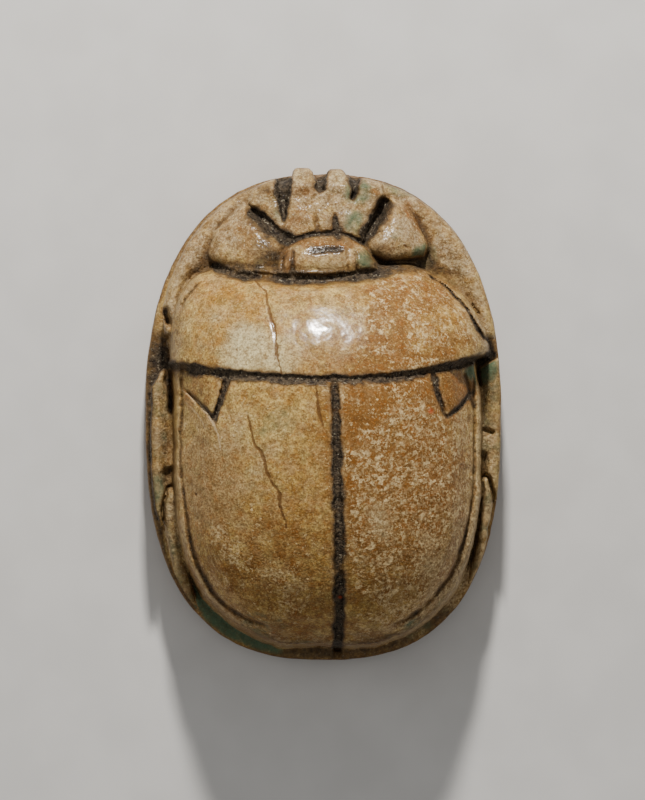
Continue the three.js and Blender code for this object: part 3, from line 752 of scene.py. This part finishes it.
# ---- Where the stone's colours lie ----
# How strong each patch is, its middle's x and y, its half width and half height and, where they matter, how
# soft its border is and how far it is turned.
PATCHES = {
    "green": [
        (0.6, -6.1, -3, 0.5, 1.2), (0.95, 5.7, 1.6, 0.7, 0.6), (0.6, 0.95, 6.95, 0.5, 0.6),
        (0.75, 3.6, 5.75, 0.6, 0.5), (0.7, 1.15, 8.2, 0.6, 0.6), (0.55, -2.5, -7.45, 1, 0.3),
        (0.6, 3.4, -7.9, 0.8, 0.5), (0.6, 2.9, 8.3, 0.9, 0.5), (0.5, -1.6, 7.6, 0.4, 0.9),
        (0.4, 4.3, 5, 0.8, 0.5), (0.75, 1.45, 5.6, 0.4, 0.5), (0.6, -2.15, 5.5, 0.55, 0.35),
        (0.6, 1.5, 6.9, 0.5, 0.55), (0.35, 2.9, 6.2, 0.7, 0.8), (0.5, -2.2, -7.75, 1, 0.22),
        (0.45, -2, -0.2, 1, 0.8),
    ],
    "unspeckled": [(1, 4.6, 0.9, 1, 0.7), (1, -4.6, 0.9, 1.2, 0.9), (0.35, 1.3, 0.2, 1, 0.7)],
    "speckle": [
        (1, 3.4, -3.6, 3, 5.6, 0.4), (0.6, 1.2, -2, 1.4, 5, 0.4), (0.7, 2.9, 3.3, 3, 2.2),
        (1.15, 2.9, -0.3, 1.6, 1.2), (1.1, 2.6, -3.9, 1.6, 1), (1.1, -3.4, -4.9, 1.2, 0.45, 0.6, -50),
        (1, -1.8, -6, 1.1, 0.5, 0.6, -15), (0.8, -1.3, -6.8, 0.8, 0.5), (0.4, -2.4, -6, 2.6, 2.2, 0.4),
        (0.35, -3.6, -2, 2.2, 4, 0.4),
    ],
    # Among the pale patches, those on the two middle teeth's front facets and on the left cheek's left edge
    # are painted highlight.
    "pale_and_highlight": [
        (1, -3, 2.4, 0.9, 1, 0.6), (0.85, -1.7, 2, 0.8, 0.9, 0.6), (0.2, -1.9, 4, 1.2, 0.7),
        (0.4, -4.5, 3.2, 1, 1.2, 0.6), (0.6, -0.87, 8.72, 0.3, 0.3, 0.4),
        (0.6, 0.42, 8.65, 0.28, 0.3, 0.4), (0.65, -0.15, 5.42, 0.85, 0.3, 0.4),
        (0.36, -2.6, -1.3, 2, 2.3, 0.8), (0.5, 1.9, -3.9, 0.7, 0.8, 0.6),
        (0.4, 3.9, -5.2, 0.9, 1.4, 0.6), (0.35, -2, -0.1, 0.8, 0.7, 0.6),
        (0.4, -3, -3.9, 0.6, 0.4, 0.7), (0.4, -4.05, 6.2, 0.15, 0.4, 0.6),
    ],
    "rust": [
        (0.95, 2.4, -1.5, 2.6, 5.5, 0.7), (0.5, -2.2, -6, 3.8, 3), (0.6, 3.4, 2.3, 2.4, 1.3, 0.7),
        (0.5, 0.3, 2.3, 1.2, 0.7, 0.7), (0.95, 0, 6.2, 1.3, 0.22), (0.8, -1.4, 5.6, 0.25, 0.5),
        (0.4, -3.1, 6.4, 0.6, 0.7, 0.7), (0.8, 3.2, 7.2, 0.22, 0.7, 0.4, 25),
        (0.5, -1, 7.2, 0.5, 0.6, 0.7), (0.7, 2.9, 4.3, 1.9, 0.9, 0.6), (0.4, -4.6, 0.9, 1, 0.8),
        (1, 4.6, 0.8, 1, 0.8), (1, 1.6, -0.2, 1.6, 1.4), (0.6, -0.85, 8.1, 0.4, 0.25),
        (0.7, 1.75, 8.12, 0.4, 0.1, 0.4, -15), (0.5, 3.3, 7, 0.2, 0.6, 0.4, 20),
        (0.15, 0.3, 5.5, 1.8, 0.9, 0.6), (0.5, 0, -8, 4, 0.7),
    ],
    "bare": [
        (1, -4.3, -2.4, 1.4, 2), (1, 4.4, -5, 1.5, 3.2, 0.6), (0.7, -2.2, 8.2, 0.35, 0.25),
        (0.7, 0.1, 5.6, 0.9, 0.4),
    ],
    "shade": [
        (0.6, -1.95, 5.8, 0.7, 0.9, 0.8, 20), (0.34, 2, 5.75, 0.7, 0.6, 0.7),
        (0.45, -2.2, 8.2, 0.3, 0.2), (0.6, 0, 5.12, 2, 0.18, 0.6), (0.62, -2.9, 5.25, 1.3, 0.35, 0.7),
        (0.68, 2.7, 5.42, 1.1, 0.32, 0.6), (0.62, -1.75, 5.35, 0.35, 0.4, 0.6),
        (0.55, 2.1, 5.45, 0.3, 0.4, 0.6),
    ],
    "red": [(1, 3.72, 0.11, 0.1, 0.06), (1, 0.44, -6.64, 0.07, 0.05)],
}
# What the maps hold on the base's side and underside.
ON_SIDE = {"red": 0, "dirt_and_shade": 0.4, "crack": 0, "green": 0.3, "speckle": 0.15, "pale_and_highlight": 0, "rust": 0.45,
           "bare": 0.4, "rough": 0.6, "edge": 0, "gloss": 0.04}


def patch(x, y, wide, tall, soft=0.5, turn=0):
    """1 in the middle of an oval patch, falling to 0 round it."""
    c, s = math.cos(math.radians(turn)), math.sin(math.radians(turn))
    u, v = (X - x) * c + (Y - y) * s, (Y - y) * c - (X - x) * s
    return 1 - smooth(1 - soft, 1 + soft, np.hypot(u / wide, v / tall))


def most(*maps):
    return np.maximum.reduce(maps)


def patches(name):
    return most(*(strength * patch(*where) for strength, *where in PATCHES[name]))


def colour_maps():
    """The maps that the material reads, from 0 to about 1, and below 0 for a pale scratch."""
    hollow = smooth(0.05, 0.3, HOLLOW)
    legs = smooth(-0.42, -0.3, -np.abs(OUTSIDE + 0.4)) * smooth(2.2, 1.6, Y)
    level = 1 - smooth(2.5, 5.5, STEEP)  # 0 on the upright walls
    # Painted shade on the tail's ledge, below the tail's end.
    tail_ledge_shade = smooth(-6.6, -7.4, Y) * (1 - smooth(0.5, 0.9, -OUTSIDE)) * (0.2 + 0.8 * level)
    by_tail = patch(-3.6, -7.4, 2.6, 1.4, 0.4, -35) * (1 - smooth(0.6, 1.1, -OUTSIDE))
    by_tail = by_tail * (1 - 0.8 * smooth(2.1, 2.3, H))
    green = most(by_tail, patches("green"), 0.5 * hollow * patch(0, 6.6, 4.5, 2.2), 0.45 * legs)
    green = green * (0.35 + 0.65 * level)
    bare = most(patches("bare"), 0.6 * smooth(4.9, 5.6, Y) * (1 - smooth(1.2, 2, -OUTSIDE)))
    shaded_carving = most(smooth(4.7, 5.3, Y), 0.4 * legs)
    left_legs = smooth(-0.14, 0.02, OUTSIDE + LEDGE) * smooth(0, -1, X) * smooth(3.5, 2.5, Y)
    # Dirt in the lines and the legs' stain, mixed with painted shade.
    dirt_and_shade = most(
        blurred(DIRT_AND_SHADE * (0.95 + 0.3 * layered(0.4, 2)), 0.035),
        # painted shade patches, with the strip outside the left legs made darker along with them
        most(patches("shade"), 0.8 * left_legs) * (1 + 0.3 * layered(0.35, 3)),
        # painted shade in the low places
        0.34 * hollow * (1 - 0.5 * legs),
        # painted shade on the tail's ledge
        0.62 * tail_ledge_shade,
        # painted shade in the broad hollows of the head and legs
        0.56 * shaded_carving * smooth(-0.02, 0.28, HOLLOW_WIDE),
        0.24 * legs,
    )
    dirt_and_shade = dirt_and_shade * (1 - 0.75 * smooth(0.3, 0.8, green) * tail_ledge_shade)
    edge = smooth(0.008, 0.04, RAISED / STEEP**2) * (1 - 0.5 * smooth(4.7, 5.3, Y))
    head_gloss = 0.5 * smooth(4.9, 5.5, Y) * (1 - smooth(2.6, 4.2, np.abs(X)))
    gloss = ON_SIDE["gloss"] + 0.56 * most(1.55 * patch(-0.2, 3, 3, 1.3, 0.6), head_gloss)
    return {"red": patches("red"), "dirt_and_shade": dirt_and_shade, "crack": CRACK, "green": green,
            "speckle": (1 - patches("unspeckled")) * patches("speckle"), "pale_and_highlight": patches("pale_and_highlight"),
            "rust": patches("rust"), "bare": bare, "rough": ROUGH, "edge": edge, "gloss": gloss}


def paint(mesh, points):
    """Gives the mesh the maps' values on the carved back, and plain ones on the base's side and underside."""
    maps = colour_maps()
    values = sampled(list(maps.values()), points[:, 0], points[:, 1])
    above = smooth(BASE_TOP - 0.15, BASE_TOP + 0.1, points[:, 2])
    for name, value in zip(maps, values):
        value = ON_SIDE[name] + (value - ON_SIDE[name]) * above
        mesh.attributes.new(name, "FLOAT", "POINT").data.foreach_set("value", value.astype(np.float32))


# ---- The material ----
def linear(r, g, b):
    """A colour given as it looks on a screen, 0 to 255, as the shader wants it."""
    shares = (c / 255 for c in (r, g, b))
    return tuple(s / 12.92 if s <= 0.04045 else ((s + 0.055) / 1.055) ** 2.4 for s in shares) + (1,)


class Nodes:
    """Short names for the nodes of one material."""

    def __init__(self, name):
        self.material = bpy.data.materials.new(name)
        self.material.use_nodes = True
        self.tree = self.material.node_tree
        self.shader = self.tree.nodes["Principled BSDF"]
        metres = self.add("ShaderNodeTexCoord").outputs["Object"]
        self.place = self.vector("MULTIPLY", metres, (1 / MM, 1 / MM, 1 / MM))

    def add(self, kind, values=(), **settings):
        """A node, with values or links for its inputs, by number or by name."""
        node = self.tree.nodes.new(kind)
        for key, setting in settings.items():
            setattr(node, key, setting)
        for key, value in dict(values).items():
            self.link(node.inputs[key], value)
        return node

    def link(self, socket, value):
        if isinstance(value, bpy.types.NodeSocket):
            self.tree.links.new(value, socket)
        else:
            socket.default_value = value

    def vector(self, operation, a, b):
        return self.add("ShaderNodeVectorMath", {0: a, 1: b}, operation=operation).outputs[0]

    def math(self, operation, a, b, clamp=False):
        return self.add("ShaderNodeMath", {0: a, 1: b}, operation=operation, use_clamp=clamp).outputs[0]

    def times(self, a, b):
        return self.math("MULTIPLY", a, b)

    def plus(self, a, b):
        return self.math("ADD", a, b)

    def ramp(self, value, low, high, to_low=0, to_high=1):
        values = enumerate((value, low, high, to_low, to_high))
        return self.add("ShaderNodeMapRange", values, interpolation_type="SMOOTHSTEP").outputs[0]

    def noise(self, scale, detail=3, rough=0.55, shift=0):
        """Values round 0.5, in features 1 / scale millimetres wide."""
        place = self.vector("ADD", self.place, (shift, shift * 1.7, shift * 0.6))
        values = {"Vector": place, "Scale": scale, "Detail": detail, "Roughness": rough}
        return self.add("ShaderNodeTexNoise", values).outputs["Fac"]

    def swing(self, amount, *noise):
        """Noise round 0, that amount strong."""
        return self.times(self.math("SUBTRACT", self.noise(*noise), 0.5), amount)

    def read(self, name):
        return self.add("ShaderNodeAttribute", attribute_name=name).outputs["Fac"]

    def uneven(self, name, scale, amount, shift):
        """One of the stone's maps, with its borders broken up by noise."""
        return self.plus(self.read(name), self.swing(amount, scale, 4, 0.62, shift))

    def mix(self, share, a, b):
        """A share of b over a, each a socket or a colour as it looks on a screen."""
        a, b = (linear(*c) if isinstance(c, tuple) else c for c in (a, b))
        return self.add("ShaderNodeMix", {0: share, 6: a, 7: b}, data_type="RGBA").outputs[2]

    def clouded(self, colour, *layers):
        """Clouds on a colour, each a noise, where it starts and is full, a share and a colour."""
        for noise, low, high, share, cloud in layers:
            colour = self.mix(self.ramp(self.noise(*noise), low, high, 0, share), colour, cloud)
        return colour

    def bump(self, socket, height, distance):
        """Relief on one of the shader's normals, of that many millimetres for a height of 1."""
        node = self.add("ShaderNodeBump", {"Height": height, "Strength": 1, "Distance": distance * MM})
        self.link(self.shader.inputs[socket], node.outputs["Normal"])


def ochre(n):
    """Glaze from buff to orange-brown, bare stone in places, and small clouds."""
    tone = n.plus(n.noise(0.5, 3, 0.6, 3.1), n.swing(1.1, 2.1, 6, 0.7, 8.2))
    colour = n.mix(n.ramp(tone, 0.36, 0.68), (206, 176, 106), (174, 135, 68))
    colour = n.mix(n.ramp(n.uneven("bare", 1.1, 1.5, 5.5), 0.2, 1, 0, 0.75), colour, (162, 134, 94))
    return n.clouded(
        colour,
        ((1.3, 6, 0.7, 33), 0.48, 0.58, 0.5, (190, 158, 112)),
        ((1.9, 6, 0.7, 37), 0.5, 0.6, 0.5, (122, 104, 60)),
        ((2.7, 6, 0.7, 43), 0.5, 0.6, 0.55, (148, 98, 40)),
        ((4.6, 6, 0.7, 49), 0.52, 0.62, 0.5, (104, 76, 40)),
    )


def weathered(n, colour):
    # The pitted head and forelegs are greyer.
    ashen = n.times(n.ramp(n.noise(1.2, 5, 0.7, 19), 0.38, 0.6, 0.15, 0.85), n.read("rough"))
    colour = n.mix(ashen, colour, (174, 156, 124))
    rust = n.ramp(n.uneven("rust", 1.5, 1.6, 13), 0.15, 0.85, 0, 0.85)
    colour = n.mix(rust, colour, (120, 78, 38))
    for scale, shift, low, share, vein in (
        (3.4, 63, 0.5, 0.75, (142, 84, 26)),
        (5.2, 67, 0.54, 0.8, (86, 56, 28)),
    ):
        patchy = n.ramp(n.noise(scale, 6, 0.72, shift), low, low + 0.09, 0, share)
        colour = n.mix(n.times(patchy, rust), colour, vein)
    # Pale patches of the stone, and painted highlight on the two middle teeth's front facets and the left
    # cheek's left edge.
    colour = n.mix(n.ramp(n.uneven("pale_and_highlight", 1, 1.3, 11), 0.2, 1.1, 0, 0.8), colour, (218, 206, 160))
    # Chalky clouds and brown freckles over all of it, and brown blotches on the head and forelegs.
    colour = n.clouded(
        colour,
        ((1.7, 7, 0.74, 73), 0.52, 0.62, 0.32, (172, 142, 98)),
        ((5, 5, 0.74, 77), 0.5, 0.6, 0.4, (104, 78, 44)),
    )
    blotch = n.times(n.ramp(n.noise(3, 6, 0.74, 15), 0.46, 0.6), n.read("rough"))
    return n.mix(n.times(blotch, 0.75), colour, (106, 82, 52))


def specks(n):
    """Where the pale specks are, crowded where the glaze has broken down."""
    crowd = n.plus(n.uneven("speckle", 0.8, 1.6, 17), n.swing(2.4, 2.3, 3, 0.6, 83))
    coarse = n.math("SUBTRACT", n.noise(6, 5, 0.68, 20), n.ramp(crowd, 0, 1, 0.72, 0.515))
    fine = n.math("SUBTRACT", n.noise(10, 4, 0.7, 23), n.ramp(crowd, 0, 1, 0.72, 0.55))
    speck = n.math("MAXIMUM", n.ramp(coarse, -0.015, 0.03), n.ramp(fine, -0.01, 0.04, 0, 0.9))
    return n.times(speck, n.ramp(n.noise(3.2, 2, 0.6, 87), 0.36, 0.62, 0.25, 0.85))


def grained(n, colour):
    # Fine dark grain, and pin-point grains, dark and light.
    colour = n.clouded(
        colour,
        ((9, 5, 0.75), 0.4, 0.66, 0.62, (104, 70, 32)),
        ((15, 2, 0.6, 53), 0.52, 0.62, 0.45, (84, 58, 28)),
        ((14, 2, 0.6, 57), 0.57, 0.66, 0.3, (222, 194, 134)),
    )
    # Edges rubbed pale.
    rubbed = n.times(n.read("edge"), n.ramp(n.noise(4, 4, 0.65, 27), 0.35, 0.6))
    colour = n.mix(n.times(rubbed, 0.4), colour, (210, 186, 140))
    # Painted glints: pale specks painted into the pitted head and legs.
    painted_sparkle = n.times(n.ramp(n.noise(11, 5, 0.75, 29), 0.56, 0.68), n.read("rough"))
    return n.mix(n.times(painted_sparkle, 0.6), colour, (222, 204, 168))


def soiled(n, colour):
    """The colour with green hollows, dirt and painted shade, cracks and red spots, and how dark the dirt and
    shade are.
    """
    colour = n.mix(n.ramp(n.uneven("green", 1.6, 1.1, 31), 0.3, 0.9, 0, 0.85), colour, (58, 88, 68))
    # Dirt in the cut lines and painted shade, brown at their edges and near black within, flecked with
    # painted glints.
    dirt_and_shade = n.plus(n.uneven("dirt_and_shade", 5, 0.6, 41), n.swing(0.35, 15, 3, 0.6, 45))
    dark = n.ramp(dirt_and_shade, 0.36, 0.8)
    painted_glint = n.ramp(n.noise(12, 3, 0.6, 50), 0.6, 0.7)
    soil_and_shade = n.mix(n.ramp(n.noise(7, 4, 0.65, 47), 0.38, 0.6), (36, 32, 29), (82, 71, 57))
    soil_and_shade = n.mix(n.times(n.read("rough"), 0.3), soil_and_shade, (32, 30, 28))
    soil_and_shade = n.mix(n.times(painted_glint, 0.6), soil_and_shade, (180, 172, 148))
    colour = n.mix(n.ramp(dirt_and_shade, 0.08, 0.55, 0, 0.75), colour, (84, 58, 32))
    colour = n.mix(n.times(dark, 0.95), colour, soil_and_shade)
    # Brown cracks, pale scratches and red spots.
    crack = n.read("crack")
    colour = n.mix(n.ramp(crack, 0.05, 0.6, 0, 0.85), colour, (92, 62, 34))
    colour = n.mix(n.ramp(n.times(crack, -1), 0.05, 0.5, 0, 0.6), colour, (204, 180, 142))
    return n.mix(n.times(n.read("red"), 0.75), colour, (168, 58, 26)), dark


def roughened(n, speck, dark):
    rough = n.ramp(n.noise(4, 3, 0.6, 61), 0.3, 0.7, 0.34, 0.5)
    rough = n.plus(n.plus(rough, n.times(dark, 0.15)), n.times(speck, 0.12))
    rough = n.math("SUBTRACT", rough, n.times(n.read("pale_and_highlight"), 0.06), clamp=True)
    n.link(n.shader.inputs["Roughness"], rough)
    relief = n.plus(n.times(n.noise(10, 1, 0.6, 71), 1.8), n.times(speck, 0.3))
    relief = n.plus(relief, n.times(n.times(dark, n.noise(12, 1, 0.6, 81)), 4))
    relief = n.plus(relief, n.times(n.times(n.noise(5.5, 2, 0.65, 91), n.read("rough")), 3.5))
    n.bump("Normal", relief, 0.014)
    n.shader.inputs["Specular IOR Level"].default_value = 0.04


def glossed(n, dark):
    """The glaze's gloss, grainy close to, and gone where dirt, painted shade or a crack lies on it."""
    pitted = n.times(n.noise(9, 1, 0.6, 97), n.times(n.read("rough"), 5))
    n.bump("Coat Normal", n.plus(n.noise(8, 0, 0.5, 95), pitted), 0.0025)
    dull = n.math("MAXIMUM", n.times(dark, 0.9), n.times(n.read("rough"), 0.55))
    dull = n.math("MAXIMUM", dull, n.math("MULTIPLY", n.read("crack"), 1, clamp=True))
    n.link(n.shader.inputs["Coat Weight"], n.times(n.math("SUBTRACT", 1, dull), n.read("gloss")))
    n.shader.inputs["Coat Roughness"].default_value = 0.165


def steatite():
    n = Nodes("glazed_steatite")
    speck = specks(n)
    colour = n.mix(speck, weathered(n, ochre(n)), (222, 196, 146))
    colour, dark = soiled(n, grained(n, colour))
    n.link(n.shader.inputs["Base Color"], colour)
    roughened(n, speck, dark)
    glossed(n, dark)
    return n.material


# ---- Floor, lights and camera ----
# What the camera looks at, how wide a stretch of it, from how far off, and how many degrees it is tilted.
VIEW = {"middle": (-0.091, 0.511, 3), "width": 23.54, "away": 500, "tilt": 1.8}


def floor():
    mesh = bpy.data.meshes.new("floor")
    reach = 1.2  # metres
    corners = [(-reach, -reach, 0), (reach, -reach, 0), (reach, reach, 0), (-reach, reach, 0)]
    mesh.from_pydata(corners, [], [(0, 1, 2, 3)])
    plane = bpy.data.objects.new("floor", mesh)
    bpy.context.scene.collection.objects.link(plane)
    n = Nodes("floor_paper")
    tone = n.ramp(n.noise(0.4, 2, 0.5), 0.3, 0.7)
    n.link(n.shader.inputs["Base Color"], n.mix(tone, (206, 204, 200), (212, 210, 206)))
    n.shader.inputs["Roughness"].default_value = 0.85
    mesh.materials.append(n.material)


def softbox(name, place, size, power, colour=(1, 1, 1)):
    """A soft lamp, turned towards the stone's middle."""
    lamp = bpy.data.lights.new(name, "AREA")
    lamp.shape = "RECTANGLE"
    lamp.size, lamp.size_y = size[0] * MM, size[1] * MM
    lamp.energy = power
    lamp.color = colour
    thing = bpy.data.objects.new(name, lamp)
    thing.location = Vector(place) * MM
    thing.rotation_euler = (Vector((0, 0, 3)) - Vector(place)).to_track_quat("-Z", "Y").to_euler()
    bpy.context.scene.collection.objects.link(thing)


def lights():
    softbox("key", (-1, 82, 61), (8, 8), 0.16, (1, 0.965, 0.92))
    softbox("overhead", (-20, 10, 180), (90, 90), 0.012)
    softbox("left", (-120, 20, 45), (60, 40), 0.02)
    softbox("right", (120, 20, 45), (60, 40), 0.008)
    world = bpy.data.worlds.new("studio")
    world.use_nodes = True
    background = world.node_tree.nodes["Background"]
    background.inputs["Color"].default_value = (1, 1, 1, 1)
    background.inputs["Strength"].default_value = 0.31
    bpy.context.scene.world = world


def camera():
    """Looks down on the back, a hair from the left, from far enough off to flatten it."""
    lens = bpy.data.cameras.new("camera")
    lens.sensor_fit = "HORIZONTAL"
    lens.sensor_width = 36
    lens.lens = lens.sensor_width * VIEW["away"] / VIEW["width"]
    lens.clip_start, lens.clip_end = 0.01, 10
    thing = bpy.data.objects.new("camera", lens)
    tilt = math.radians(VIEW["tilt"])
    back = Vector((-math.sin(tilt), 0, math.cos(tilt)))
    thing.location = (Vector(VIEW["middle"]) + VIEW["away"] * back) * MM
    thing.rotation_euler = (0, -tilt, 0)
    bpy.context.scene.collection.objects.link(thing)
    bpy.context.scene.camera = thing


stone = stone_piece()
stone.data.materials.append(steatite())
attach(stone, "root")
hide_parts("scarab")
floor()
lights()
camera()
